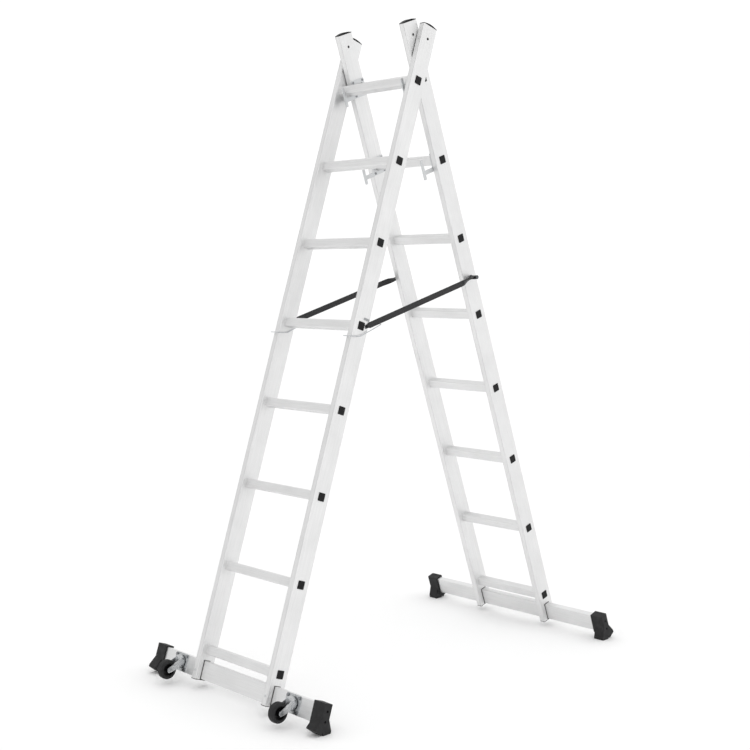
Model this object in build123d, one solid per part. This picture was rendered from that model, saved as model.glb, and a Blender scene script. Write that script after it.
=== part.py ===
"""Multi position ladder: two eight-rung aluminium sections, hooked together as a step ladder.

Units are millimetres. Each section is built flat in its own frame: x across the ladder,
y through the depth of the stile (called w), and z up along the stile, so a distance u
down the stile from the first rung's axis is z = -u. The two sections are then leaned
apart about the axis of the front section's first rung, which is the hinge.
The finished ladder stands on z = 0, with its origin in the middle of its footprint.
"""

from build123d import *
import math
import os

# --- The ladder as a whole -------------------------------------------------------------
RUNG_PITCH = 280.0
RUNG_COUNT = 8
OPENING_ANGLE = 37.5
HINGE_OFFSET_W = 51.4       # hinge axis in front of the rear section's first rung
HINGE_OFFSET_U = -3.0       # and this much above it
RUNNING_GAP = 0.3           # between parts that move past each other
FIT_GAP = 0.05              # on each side, between parts that are pushed together

# --- Stiles, a rectangular aluminium tube ----------------------------------------------
STILE_DEPTH = 63.0
STILE_THICKNESS = 22.0
STILE_WALL = 1.8
STILE_CORNER = 2.0
STILE_TOP = -190.0          # u of the cut ends
STILE_BOTTOM = 2059.0
STILE_GROOVE_X = 8.5        # fine grooves along both narrow faces
STILE_GROOVE_WIDTH = 1.2
STILE_GROOVE_DEPTH = 0.6
FRONT_STILE_X = 179.5       # centre of the stile's thickness
REAR_STILE_X = 155.5
TOP_HOLE_U = -146.0
TOP_HOLE_RADIUS = 4.5
WALL_PIN_RADIUS = 2.0       # screws and rivets through a stile's wall

# --- Rungs, a ribbed square tube -------------------------------------------------------
RUNG_SIZE = 30.0
RUNG_WALL = 1.6
RUNG_CORNER = 4.0
RUNG_GROOVES = 4            # tread grooves on each side of the tube
RUNG_GROOVE_PITCH = 5.0
RUNG_GROOVE_WIDTH = 1.4
RUNG_GROOVE_DEPTH = 0.5
COLLAR_SIZE = 34.0          # the bead that is pressed up against the stile
COLLAR_LENGTH = 1.5
COLLAR_BITE = 0.6           # how far the collar is rolled into the tube
PLUG_CLEARANCE = 0.1
PLUG_DEPTH = 12.0
PLUG_PROUD = 1.5
PLUG_CHAMFER = 0.8

# --- Top caps --------------------------------------------------------------------------
CAP_FLANGE = 2.5
CAP_DOME = 4.5
CAP_INSERT = 14.0
CAP_HOLLOW = (14.0, 54.0, 2.0)   # across x, across w, and the floor left above it
CAP_DOME_MARGIN = (1.0, 3.0)     # flange left round the dome, along x and w

# --- Stabiliser bars with their liners and feet ----------------------------------------
BAR_U = 2027.0
BAR_HEIGHT = 60.0
BAR_DEPTH = 22.0
BAR_WALL = 2.0
BAR_END_X = 420.0
FOOT_SCREW_U = (2015.0, 2046.0)  # screw channels inside the bar
BAR_SCREW_U = 2031.0             # the screw that pins the bar in the stile
BAR_SCREW_HEAD = (4.0, 1.6, 0.6) # radius, height, chamfer
BAR_SCREW_REACH = 7.5            # w of the screw's point
CHANNEL_RADIUS = 4.0
CHANNEL_HOLE_RADIUS = 1.9
CHANNEL_WEB = 2.0
LINER_WALL = 1.65
LINER_PROUD = 0.8
LINER_FLANGE = 2.0
FOOT_INNER_X = 378.0
TOE_INNER_X = 388.0
FOOT_OUTER_X = 427.0
FOOT_SLEEVE_DEPTH = 32.0
FOOT_TOP_U = 1992.0
FOOT_FLARE_U = 2041.0
FOOT_TOE_W = 34.0
FOOT_SOLE_W = 4.0
FOOT_NOTCH_U = 2074.0
FOOT_TOE_TIP = 3.0          # height of the toe's square tip
FOOT_FILLET = 4.0
FOOT_SCREW_RADIUS = 2.0
FOOT_SCREW_SEAT = 5.0       # depth of the screw's counterbore in the foot's end
FOOT_SCREW_HEAD = (3.6, 4.0, 1.6)   # radius, counterbore radius, height
FOOT_SCREW_DRIVE = (1.2, 1.0)       # radius and depth of the driver recess
FOOT_SCREW_LENGTH = 14.0    # in the bar's channel
SOLE_U = 2086.0

# --- Castors on the front bar ----------------------------------------------------------
CASTOR_X = 286.0
CASTOR_U = 2026.0
CASTOR_PLATE = (68.0, 58.0, 2.5)
CASTOR_PLATE_CORNER = 6.0
CASTOR_BOLT_OFFSET = (26.0, 21.0)
CASTOR_BOLT_RADIUS = 3.0
CASTOR_BOLT_HEAD = (5.4, 3.6)    # across the corners, halved, and height
CASTOR_BOLT_POINT = -5.2         # w of the bolt's point
RACE_RADIUS = 18.5
RACE_HEIGHT = 4.0
RACE_CHAMFER = 1.2
CROWN_RADIUS = 22.0
CROWN_GAP = 0.5
CROWN_THICKNESS = 6.0
KINGPIN_RADIUS = 5.0
KINGPIN_HEAD = (8.0, 3.0, 2.0)   # radius, height, chamfer
LEG_GAP = 28.0
LEG_THICKNESS = 2.2
LEG_END_RADIUS = 9.0
LEG_ROOT = 14.4             # half the leg's width where it leaves the crown
WHEEL_RADIUS = 32.0
WHEEL_WIDTH = 24.0
WHEEL_TRAIL = 32.0
WHEEL_REACH = 52.0
HUB_RADIUS = 22.0
HUB_BOSS_RADIUS = 9.0
HUB_RIM = 3.0
HUB_WEB = 6.0
AXLE_RADIUS = 4.0
AXLE_HEAD = (6.8, 3.5)      # across the corners, halved, and height

# --- Hook plates on the rear section ---------------------------------------------------
HOOK_THICKNESS = 4.0
HOOK_WINDOW = 36.0
HOOK_BODY = (-31.0, 29.0, -31.0, 30.0)      # w from, w to, u from, u to
HOOK_BLADE_WIDTH = 10.2
HOOK_BLADE_TOP = -22.0
HOOK_BLADE_BOTTOM = 47.0
HOOK_ARM_BOTTOM = 31.0
HOOK_RIVETS = ((-24.0, -24.0), (22.0, -24.0), (-24.0, 23.0), (22.0, 23.0))
RIVET_RADIUS = 2.5
RIVET_HEAD = (4.5, 2.2, 1.2)     # radius, height, chamfer
HOOK_FILLET = 2.5
HOOK_WINDOW_CORNER = 5.0

# --- Webbing straps and the wire bails -------------------------------------------------
STRAP_WIDTH = 20.0
STRAP_THICKNESS = 2.0
STRAP_FRONT = (22.0, 836.0)                 # w, u of the anchor rivet, front section
STRAP_REAR = (5.0, 704.0)                   # w, u of the pin, rear section
STRAP_TAIL = (5.0, 12.0, 14.0)               # behind the rivet, its width, and where it ends
STRAP_TWIST = 80.0
STRAP_PIN_RADIUS = 4.0
STRAP_PIN_END_X = 194.0
STRAP_PIN_WASHER = (8.0, 1.5)    # radius and thickness
STRAP_PIN_HEAD = (7.0, 2.5)
STRAP_RIVET_HEAD = (4.0, 1.6)
STRAP_RIVET_GRIP = 3.0
KEEPER_SIZE = (3.0, 22.0, 7.0)
KEEPER_PLACE = (17.0, 814.5)
KEEPER_CHAMFER = 0.8
BAIL_RADIUS = 1.5
BAIL_OUTER_X = 196.0
BAIL_INNER_X = 164.5
BAIL_BEND = 7.0
BAIL_ROUTE = ((81.0, 810.5), (2.0, 874.0), (-46.0, 886.0))

SIDES = {"left": -1, "right": 1}


# --- Placing ---------------------------------------------------------------------------
def hinge_half_extent():
    """Half the first rung's extent, seen along the rear section's axes when open."""
    turn = math.radians(OPENING_ANGLE)
    return (RUNG_SIZE / 2 - RUNG_CORNER) * (math.cos(turn) + math.sin(turn)) + RUNG_CORNER


def section_leans():
    """Leans of the front and rear sections that put all four equal feet on the floor."""
    front_reach, front_turn = math.hypot(SOLE_U, FOOT_SOLE_W), math.atan2(FOOT_SOLE_W, SOLE_U)
    rear_u, rear_w = SOLE_U - HINGE_OFFSET_U, HINGE_OFFSET_W - FOOT_SOLE_W
    rear_reach = math.hypot(rear_u, rear_w)
    rear_turn = math.radians(OPENING_ANGLE) + math.atan2(rear_w, rear_u)
    across = rear_reach * math.cos(rear_turn) - front_reach * math.cos(front_turn)
    along = front_reach * math.sin(front_turn) - rear_reach * math.sin(rear_turn)
    front = math.degrees(math.atan(across / along))
    return front, OPENING_ANGLE - front


LEAN_FRONT, LEAN_REAR = section_leans()
HINGE_HEIGHT = (SOLE_U * math.cos(math.radians(LEAN_FRONT))
                + FOOT_SOLE_W * math.sin(math.radians(LEAN_FRONT)))
FRONT_PLACE = Pos(0, 0, HINGE_HEIGHT) * Rot(-LEAN_FRONT, 0, 0)
REAR_PLACE = (Pos(0, 0, HINGE_HEIGHT) * Rot(LEAN_REAR, 0, 0)
              * Pos(0, HINGE_OFFSET_W, HINGE_OFFSET_U))


def at(x, w, u):
    """A place in a section's own frame."""
    return Pos(x, w, -u)


def block(x_span, w_span, u_span):
    """A square-edged block between the given limits in a section's own frame."""
    spans = (x_span, w_span, u_span)
    centre = [(low + high) / 2 for low, high in spans]
    size = [abs(high - low) for low, high in spans]
    return at(*centre) * Box(*size)


def along_x(sketch, start, end):
    """Extrude a sketch drawn in (w, z) from x = start to x = end."""
    low, high = min(start, end), max(start, end)
    return Pos(low, 0, 0) * extrude(Plane.YZ * sketch, amount=high - low)


def rod_x(radius, start, end, w, u):
    """A round rod along x."""
    return Pos(0, w, -u) * along_x(Circle(radius), start, end)


def rod_w(radius, start, end, x, u):
    """A round rod along w."""
    middle = (start + end) / 2
    return at(x, middle, u) * Rot(90, 0, 0) * Cylinder(radius, abs(end - start))


# --- Stiles and their fittings ---------------------------------------------------------
def stile(x):
    """One stile with its rung holes, top hole, bar slot and rung windows."""
    tube = (RectangleRounded(STILE_THICKNESS, STILE_DEPTH, STILE_CORNER)
            - Rectangle(STILE_THICKNESS - 2 * STILE_WALL, STILE_DEPTH - 2 * STILE_WALL))
    for side in (-1, 1):
        for edge in (-1, 1):
            groove = Rectangle(STILE_GROOVE_WIDTH, 2 * STILE_GROOVE_DEPTH)
            tube -= Pos(side * STILE_GROOVE_X, edge * STILE_DEPTH / 2) * groove
    length = STILE_BOTTOM - STILE_TOP
    body = at(x, 0, STILE_BOTTOM) * extrude(tube, amount=length)
    reach = STILE_THICKNESS
    hole_size = RUNG_SIZE + 2 * FIT_GAP
    hole = RectangleRounded(hole_size, hole_size, RUNG_CORNER)
    for index in range(RUNG_COUNT):
        body -= at(0, 0, index * RUNG_PITCH) * along_x(hole, x - reach, x + reach)
    body -= rod_x(TOP_HOLE_RADIUS, x - reach, x + reach, 0, TOP_HOLE_U)
    slot_w = BAR_DEPTH / 2 + LINER_WALL + FIT_GAP
    slot_top = BAR_U - BAR_HEIGHT / 2 - LINER_WALL - FIT_GAP
    body -= block((x - reach, x + reach), (-slot_w, slot_w), (slot_top, STILE_BOTTOM + 1))
    return body


def top_cap(x):
    """A moulded cap: insert, flange and a low arched dome."""
    half_x = STILE_THICKNESS / 2 - STILE_WALL - FIT_GAP
    half_w = STILE_DEPTH / 2 - STILE_WALL - FIT_GAP
    hollow_x, hollow_w, floor = CAP_HOLLOW
    insert = block((x - half_x, x + half_x), (-half_w, half_w), (STILE_TOP, STILE_TOP + CAP_INSERT))
    insert -= block((x - hollow_x / 2, x + hollow_x / 2), (-hollow_w / 2, hollow_w / 2),
                    (STILE_TOP + floor, STILE_TOP + CAP_INSERT + 1))
    flange = at(x, 0, STILE_TOP) * extrude(
        RectangleRounded(STILE_THICKNESS, STILE_DEPTH, STILE_CORNER), amount=CAP_FLANGE)
    margin_x, margin_w = CAP_DOME_MARGIN
    half = STILE_DEPTH / 2 - margin_w
    arch = ThreePointArc((-half, 0), (0, CAP_DOME), (half, 0)) + Line((half, 0), (-half, 0))
    dome = along_x(make_face(arch), x - STILE_THICKNESS / 2 + margin_x,
                   x + STILE_THICKNESS / 2 - margin_x)
    return insert + flange + Pos(0, 0, -STILE_TOP + CAP_FLANGE) * dome


def rung(stile_x):
    """A ribbed square tube, flush with the stiles' outer faces, with its two collars."""
    half_length = stile_x + STILE_THICKNESS / 2
    profile = (RectangleRounded(RUNG_SIZE, RUNG_SIZE, RUNG_CORNER)
               - RectangleRounded(RUNG_SIZE - 2 * RUNG_WALL, RUNG_SIZE - 2 * RUNG_WALL,
                                  RUNG_CORNER - RUNG_WALL))
    for turn in range(4):
        for index in range(RUNG_GROOVES):
            offset = (index - (RUNG_GROOVES - 1) / 2) * RUNG_GROOVE_PITCH
            groove = Rectangle(RUNG_GROOVE_WIDTH, 2 * RUNG_GROOVE_DEPTH)
            profile -= Rot(0, 0, 90 * turn) * Pos(offset, RUNG_SIZE / 2) * groove
    tube = along_x(profile, -half_length, half_length)
    inner_face = stile_x - STILE_THICKNESS / 2
    ring = (RectangleRounded(COLLAR_SIZE, COLLAR_SIZE, RUNG_CORNER + 2)
            - RectangleRounded(RUNG_SIZE - 2 * COLLAR_BITE, RUNG_SIZE - 2 * COLLAR_BITE,
                               RUNG_CORNER - COLLAR_BITE))
    for side in (-1, 1):
        tube += along_x(ring, side * (inner_face - COLLAR_LENGTH), side * inner_face)
    return tube


def rung_plug(x_face, side, index):
    """The square plug in one end of a rung."""
    size = RUNG_SIZE - 2 * RUNG_WALL - 2 * PLUG_CLEARANCE
    plug = along_x(RectangleRounded(size, size, RUNG_CORNER - RUNG_WALL),
                   side * (x_face - PLUG_DEPTH), side * (x_face + PLUG_PROUD))
    outer = plug.faces().sort_by(Axis.X)[-1 if side > 0 else 0]
    return at(0, 0, index * RUNG_PITCH) * chamfer(outer.edges(), PLUG_CHAMFER)


def rung_plugs(stile_x):
    """All the plugs of one section."""
    face = stile_x + STILE_THICKNESS / 2
    return [rung_plug(face, side, index)
            for side in SIDES.values() for index in range(RUNG_COUNT)]


# --- Stabiliser bars -------------------------------------------------------------------
def stabiliser_bar():
    """The flat oblong tube, with a screw channel for each of the foot's two screws."""
    profile = (RectangleRounded(BAR_DEPTH, BAR_HEIGHT, STILE_CORNER)
               - Rectangle(BAR_DEPTH - 2 * BAR_WALL, BAR_HEIGHT - 2 * BAR_WALL))
    inner = BAR_HEIGHT / 2 - BAR_WALL
    for screw_u in FOOT_SCREW_U:
        height = BAR_U - screw_u
        wall = math.copysign(inner, height)
        profile += Pos(0, (height + wall) / 2) * Rectangle(CHANNEL_WEB, abs(wall - height) + 0.4)
        profile += Pos(0, height) * Circle(CHANNEL_RADIUS)
    for screw_u in FOOT_SCREW_U:
        profile -= Pos(0, BAR_U - screw_u) * Circle(CHANNEL_HOLE_RADIUS)
    return at(0, 0, BAR_U) * along_x(profile, -BAR_END_X, BAR_END_X)


def bar_liner(x):
    """The moulded sleeve between bar and stile, with the flange that closes the stile."""
    half = STILE_THICKNESS / 2 + LINER_PROUD
    outer_w = BAR_DEPTH / 2 + LINER_WALL
    top = BAR_U - BAR_HEIGHT / 2 - LINER_WALL
    sleeve = block((x - half, x + half), (-outer_w, outer_w), (top, STILE_BOTTOM))
    flange = at(x, 0, STILE_BOTTOM + LINER_FLANGE) * extrude(
        RectangleRounded(STILE_THICKNESS, STILE_DEPTH, STILE_CORNER), amount=LINER_FLANGE)
    opening = RectangleRounded(BAR_DEPTH + 2 * FIT_GAP, BAR_HEIGHT + 2 * FIT_GAP, STILE_CORNER)
    return sleeve + flange - at(0, 0, BAR_U) * along_x(opening, x - 2 * half, x + 2 * half)


def bar_screw(x, face_sign):
    """The screw through the stile's narrow face that pins the bar."""
    face = face_sign * STILE_DEPTH / 2
    radius, height, edge = BAR_SCREW_HEAD
    shank = rod_w(WALL_PIN_RADIUS, face_sign * BAR_SCREW_REACH, face, x, BAR_SCREW_U)
    head = rod_w(radius, face, face + face_sign * height, x, BAR_SCREW_U)
    return chamfer(head.faces().sort_by(Axis.Y)[-1 if face_sign > 0 else 0].edges(), edge) + shank


def drilled_for_bar_screw(body, x, face_sign):
    """The same screw's hole."""
    return body - rod_w(WALL_PIN_RADIUS + FIT_GAP, 0, face_sign * STILE_DEPTH, x, BAR_SCREW_U)


def foot(side, lean):
    """A moulded foot: sleeve over the bar's end, and two flared toes with tilted soles.

    Each half of the sole runs at the section's lean, so one half stands flat."""
    drop = (FOOT_TOE_W - FOOT_SOLE_W) * math.tan(math.radians(lean))
    half = FOOT_SLEEVE_DEPTH / 2
    right = [(half, BAR_U), (half, FOOT_FLARE_U), (FOOT_TOE_W, SOLE_U - drop - FOOT_TOE_TIP),
             (FOOT_TOE_W, SOLE_U - drop), (FOOT_SOLE_W, SOLE_U)]
    left = [(-w, u) for w, u in reversed(right)]
    outline = right + [(0, FOOT_NOTCH_U)] + left
    profile = make_face(Polyline(*[(w, -u) for w, u in outline], close=True))
    toes = along_x(profile, side * TOE_INNER_X, side * FOOT_OUTER_X)
    sleeve = block((side * FOOT_INNER_X, side * FOOT_OUTER_X), (-half, half),
                   (FOOT_TOP_U, 2 * BAR_U - FOOT_TOP_U))
    body = toes + sleeve
    upright = body.edges().filter_by(Axis.Z).group_by(Axis.X)
    body = fillet(upright[-1] if side > 0 else upright[0], FOOT_FILLET)
    cavity = RectangleRounded(BAR_DEPTH + 2 * FIT_GAP, BAR_HEIGHT + 2 * FIT_GAP, STILE_CORNER)
    body -= at(0, 0, BAR_U) * along_x(cavity, side * (FOOT_INNER_X - 1), side * BAR_END_X)
    bore = FOOT_SCREW_HEAD[1]
    for screw_u in FOOT_SCREW_U:
        body -= rod_x(FOOT_SCREW_RADIUS + FIT_GAP, side * BAR_END_X, side * (FOOT_OUTER_X + 1),
                      0, screw_u)
        body -= rod_x(bore, side * (FOOT_OUTER_X - FOOT_SCREW_SEAT), side * (FOOT_OUTER_X + 1),
                      0, screw_u)
    return body


def foot_screw(side, screw_u):
    """A pan-headed screw, sunk in the foot's end and driven into the bar's channel."""
    seat = FOOT_OUTER_X - FOOT_SCREW_SEAT
    radius, _, height = FOOT_SCREW_HEAD
    drive, drive_depth = FOOT_SCREW_DRIVE
    shank = rod_x(CHANNEL_HOLE_RADIUS - FIT_GAP, side * (BAR_END_X - FOOT_SCREW_LENGTH),
                  side * seat, 0, screw_u)
    head = rod_x(radius, side * seat, side * (seat + height), 0, screw_u)
    recess = rod_x(drive, side * (seat + height - drive_depth), side * (seat + height + 1),
                   0, screw_u)
    return shank + head - recess


# --- Castors ---------------------------------------------------------------------------
PLATE_FACE = -BAR_DEPTH / 2                       # w of the bar's front face
RACE_FACE = PLATE_FACE - CASTOR_PLATE[2] - RACE_HEIGHT
CROWN_FACE = RACE_FACE - CROWN_GAP
CROWN_END = CROWN_FACE - CROWN_THICKNESS
WHEEL_W = PLATE_FACE - WHEEL_REACH
WHEEL_U = CASTOR_U + WHEEL_TRAIL


def castor_bolt_places(x):
    """Centres of a castor plate's four bolts."""
    dx, du = CASTOR_BOLT_OFFSET
    return [(x + sx * dx, CASTOR_U + su * du) for sx in (-1, 1) for su in (-1, 1)]


def castor_plate(x):
    """The mounting plate with its ball race."""
    width, height, thickness = CASTOR_PLATE
    sheet = extrude(RectangleRounded(width, height, CASTOR_PLATE_CORNER), amount=thickness)
    body = at(x, PLATE_FACE, CASTOR_U) * Rot(90, 0, 0) * sheet
    race = rod_w(RACE_RADIUS, PLATE_FACE - thickness, RACE_FACE, x, CASTOR_U)
    body += chamfer(race.faces().sort_by(Axis.Y)[0].edges(), RACE_CHAMFER)
    for bolt_x, bolt_u in castor_bolt_places(x):
        body -= rod_w(CASTOR_BOLT_RADIUS + 2 * FIT_GAP, PLATE_FACE - 2 * thickness, PLATE_FACE + 1,
                      bolt_x, bolt_u)
    return body - rod_w(KINGPIN_RADIUS + 0.02, CROWN_END, 0, x, CASTOR_U)


def castor_bolt(x, u):
    """A hexagon bolt that clamps the plate to the bar's wall."""
    seat = PLATE_FACE - CASTOR_PLATE[2]
    radius, height = CASTOR_BOLT_HEAD
    head = at(x, seat, u) * Rot(90, 0, 0) * extrude(RegularPolygon(radius, 6), amount=height)
    return head + rod_w(CASTOR_BOLT_RADIUS, seat, CASTOR_BOLT_POINT, x, u)


def castor_kingpin(x):
    """The riveted pin that the fork swivels on."""
    head_seat = CROWN_END - RUNNING_GAP
    radius, height, edge = KINGPIN_HEAD
    shank = rod_w(KINGPIN_RADIUS, head_seat, PLATE_FACE, x, CASTOR_U)
    head = rod_w(radius, head_seat - height, head_seat, x, CASTOR_U)
    return shank + chamfer(head.faces().sort_by(Axis.Y)[0].edges(), edge)


def castor_fork(x):
    """The pressed fork: a round crown and two legs that taper to the axle."""
    body = rod_w(CROWN_RADIUS, CROWN_END, CROWN_FACE, x, CASTOR_U)
    leg_root = (CROWN_FACE + CROWN_END) / 2
    leg_edges = (Pos(leg_root, -CASTOR_U) * Rectangle(CROWN_THICKNESS, 2 * LEG_ROOT)).edges()
    leg_edges += (Pos(WHEEL_W, -WHEEL_U) * Circle(LEG_END_RADIUS)).edges()
    leg = make_hull(leg_edges)
    for side in (-1, 1):
        inner = x + side * LEG_GAP / 2
        body += along_x(leg, inner, inner + side * LEG_THICKNESS)
    body -= rod_w(KINGPIN_RADIUS + FIT_GAP, CROWN_END - 1, CROWN_FACE + 1, x, CASTOR_U)
    return body - rod_x(AXLE_RADIUS + 0.03, x - 30, x + 30, WHEEL_W, WHEEL_U)


def castor_axle(x):
    """The wheel's axle bolt, headed at both ends."""
    outer = LEG_GAP / 2 + LEG_THICKNESS
    shaft = rod_x(AXLE_RADIUS, x - outer, x + outer, WHEEL_W, WHEEL_U)
    radius, height = AXLE_HEAD
    for side in (-1, 1):
        shaft += at(0, WHEEL_W, WHEEL_U) * along_x(RegularPolygon(radius, 6), x + side * outer,
                                                   x + side * (outer + height))
    return shaft


def turned_about_axle(half_profile, x):
    """Revolve a profile drawn in (x, radius) about the wheel's axle."""
    face = make_face(Polyline(*half_profile, close=True))
    return at(x, WHEEL_W, WHEEL_U) * revolve(face, Axis.X)


def castor_tyre(x):
    """The solid tyre, rounded at its shoulders."""
    half = WHEEL_WIDTH / 2
    section = [(-half, HUB_RADIUS), (-half, WHEEL_RADIUS - 5), (-half + 1.5, WHEEL_RADIUS - 2),
               (-half + 4.5, WHEEL_RADIUS - 0.3), (0, WHEEL_RADIUS), (half - 4.5, WHEEL_RADIUS - 0.3),
               (half - 1.5, WHEEL_RADIUS - 2), (half, WHEEL_RADIUS - 5), (half, HUB_RADIUS)]
    return turned_about_axle(section, x)


def castor_hub(x):
    """The moulded hub: rim, web and a boss that runs on the axle."""
    bore, boss, boss_half = AXLE_RADIUS + FIT_GAP, HUB_BOSS_RADIUS, LEG_GAP / 2 - RUNNING_GAP
    rim_half, rim_inner, web_half = WHEEL_WIDTH / 2 - 1, HUB_RADIUS - HUB_RIM, HUB_WEB / 2
    right = [(boss_half, bore), (boss_half, boss), (web_half, boss + 1), (web_half, rim_inner),
             (rim_half, rim_inner), (rim_half, HUB_RADIUS)]
    left = [(-across, radius) for across, radius in reversed(right)]
    return turned_about_axle(right + left, x)


# --- Hook plates -----------------------------------------------------------------------
def hook_plate(side, rung_index):
    """The plate that carries a front rung: body, arm, and a blade with a horn each way."""
    w0, w1, u0, u1 = HOOK_BODY
    half_notch = hinge_half_extent() + RUNNING_GAP + 2 * FIT_GAP
    seat = HINGE_OFFSET_U + hinge_half_extent() + RUNNING_GAP
    blade_inner = -HINGE_OFFSET_W - half_notch
    blade_outer = blade_inner - HOOK_BLADE_WIDTH
    outline = [(w0, u0), (w1, u0), (w1, u1), (w0, u1), (w0, HOOK_ARM_BOTTOM),
               (blade_inner, HOOK_ARM_BOTTOM), (blade_inner, HOOK_BLADE_BOTTOM),
               (blade_outer, HOOK_BLADE_BOTTOM), (blade_outer, HOOK_BLADE_TOP),
               (blade_inner, HOOK_BLADE_TOP), (blade_inner, seat), (w0, seat)]
    outline = [point for i, point in enumerate(outline) if point != outline[i - 1]]
    face = make_face(Polyline(*[(w, -u) for w, u in outline], close=True))
    corners = [v for v in face.vertices() if abs(v.X - w0) > 0.1 or abs(v.Y + u0) < 0.1]
    face = fillet(corners, HOOK_FILLET)
    face -= RectangleRounded(HOOK_WINDOW, HOOK_WINDOW, HOOK_WINDOW_CORNER)
    for rivet_w, rivet_u in HOOK_RIVETS:
        face -= Pos(rivet_w, -rivet_u) * Circle(RIVET_RADIUS + FIT_GAP)
    outer = REAR_STILE_X - STILE_THICKNESS / 2
    sheet = along_x(face, side * (outer - HOOK_THICKNESS), side * outer)
    return at(0, 0, rung_index * RUNG_PITCH) * sheet


def hook_rivet(side, w, u):
    """A domed rivet through a hook plate and the stile's wall."""
    face = REAR_STILE_X - STILE_THICKNESS / 2
    inner = face - HOOK_THICKNESS
    radius, height, edge = RIVET_HEAD
    shank = rod_x(RIVET_RADIUS, side * inner, side * (face + STILE_WALL + 1.5), w, u)
    head = rod_x(radius, side * (inner - height), side * inner, w, u)
    outer = head.faces().sort_by(Axis.X)[0 if side > 0 else -1]
    return shank + chamfer(outer.edges(), edge)


def hook_rivet_places():
    """Side, w and u of every rivet that holds the four hook plates."""
    return [(side, w, u + index * RUNG_PITCH)
            for side in SIDES.values() for index in (0, 1) for w, u in HOOK_RIVETS]


# --- Straps and bails ------------------------------------------------------------------
def strap_ends():
    """The two ends of a strap's centre line, in the ladder's frame before it is centred."""
    front = (FRONT_PLACE * at(0, *STRAP_FRONT)).position
    rear = (REAR_PLACE * at(0, *STRAP_REAR)).position
    return front, rear


def strap(side):
    """A taut webbing strap: flat beside the front stile, turned a quarter and looped
    round the pin on the rear stile."""
    front, rear = strap_ends()
    run = rear - front
    frame = Plane(origin=(0, front.Y, front.Z), x_dir=(0, run.Y, run.Z), z_dir=(1, 0, 0))
    flat_x = FRONT_STILE_X + STILE_THICKNESS / 2 + RUNNING_GAP + STRAP_THICKNESS / 2
    loop_x = (REAR_STILE_X + STILE_THICKNESS / 2 + STRAP_PIN_END_X) / 2 + 0.7
    loop_inner = STRAP_PIN_RADIUS + RUNNING_GAP
    loop_end = run.length - loop_inner - STRAP_THICKNESS / 2
    twist_start = loop_end - STRAP_TWIST
    tail_end, tail_width, tail_taper = STRAP_TAIL
    upper = [(-tail_end, tail_width / 2), (tail_taper / 3, tail_width / 2),
             (tail_taper, STRAP_WIDTH / 2), (twist_start, STRAP_WIDTH / 2)]
    lower = [(s, -half) for s, half in reversed(upper)]
    outline = make_face(Polyline(*upper, *lower, close=True))
    flat = Pos(0, 0, flat_x - STRAP_THICKNESS / 2) * extrude(outline, amount=STRAP_THICKNESS)
    stations = []
    for step in range(5):
        part = step / 4
        ease = part * part * (3 - 2 * part)
        centre = flat_x + (loop_x - flat_x) * ease
        plane = Plane(origin=(twist_start + STRAP_TWIST * part, 0, centre), z_dir=(1, 0, 0),
                      x_dir=(0, math.cos(math.pi / 2 * ease), math.sin(math.pi / 2 * ease)))
        stations.append(plane * Rectangle(STRAP_WIDTH, STRAP_THICKNESS))
    twist = loft(stations, ruled=True)
    loop = Pos(run.length, 0, loop_x) * (
        Cylinder(loop_inner + STRAP_THICKNESS, STRAP_WIDTH) - Cylinder(loop_inner, STRAP_WIDTH))
    whole = frame.location * (flat + twist + loop)
    return whole if side > 0 else mirror(whole, Plane.YZ)


def strap_anchor(side):
    """The riveted washer that holds a strap to the front stile."""
    face = FRONT_STILE_X + STILE_THICKNESS / 2
    outer = face + RUNNING_GAP + STRAP_THICKNESS
    w, u = STRAP_FRONT
    radius, height = STRAP_RIVET_HEAD
    head = rod_x(radius, side * outer, side * (outer + height), w, u)
    shank = rod_x(WALL_PIN_RADIUS, side * (face - STRAP_RIVET_GRIP), side * outer, w, u)
    return head + shank


def strap_keeper(side):
    """The small clip on the front stile, above a strap's end."""
    face = FRONT_STILE_X + STILE_THICKNESS / 2
    depth, length, height = KEEPER_SIZE
    w, u = KEEPER_PLACE
    clip = block((side * face, side * (face + depth)), (w - length / 2, w + length / 2),
                 (u - height / 2, u + height / 2))
    outer = clip.faces().sort_by(Axis.X)[-1 if side > 0 else 0]
    return chamfer(outer.edges(), KEEPER_CHAMFER)


def strap_pin(side):
    """The pin on the rear stile that a strap loops round."""
    face = REAR_STILE_X + STILE_THICKNESS / 2
    w, u = STRAP_REAR
    pin = rod_x(STRAP_PIN_RADIUS, side * face, side * STRAP_PIN_END_X, w, u)
    washer_radius, washer_thickness = STRAP_PIN_WASHER
    head_radius, head_height = STRAP_PIN_HEAD
    washer = rod_x(washer_radius, side * face, side * (face + washer_thickness), w, u)
    head = rod_x(head_radius, side * (STRAP_PIN_END_X + 1 - head_height),
                 side * (STRAP_PIN_END_X + 1), w, u)
    return pin + washer + head


def wire_bail(side):
    """A closed loop of thin wire round the front stile, under the fourth rung."""
    outward = [(BAIL_OUTER_X, w, -u) for w, u in BAIL_ROUTE]
    inward = [(BAIL_INNER_X, w, -u) for w, u in reversed(BAIL_ROUTE)]
    path = FilletPolyline(*outward, *inward, radius=BAIL_BEND, close=True)
    section = Plane(origin=path @ 0, z_dir=path % 0) * Circle(BAIL_RADIUS)
    whole = sweep(section, path=path)
    return whole if side > 0 else mirror(whole, Plane.YZ)


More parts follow.
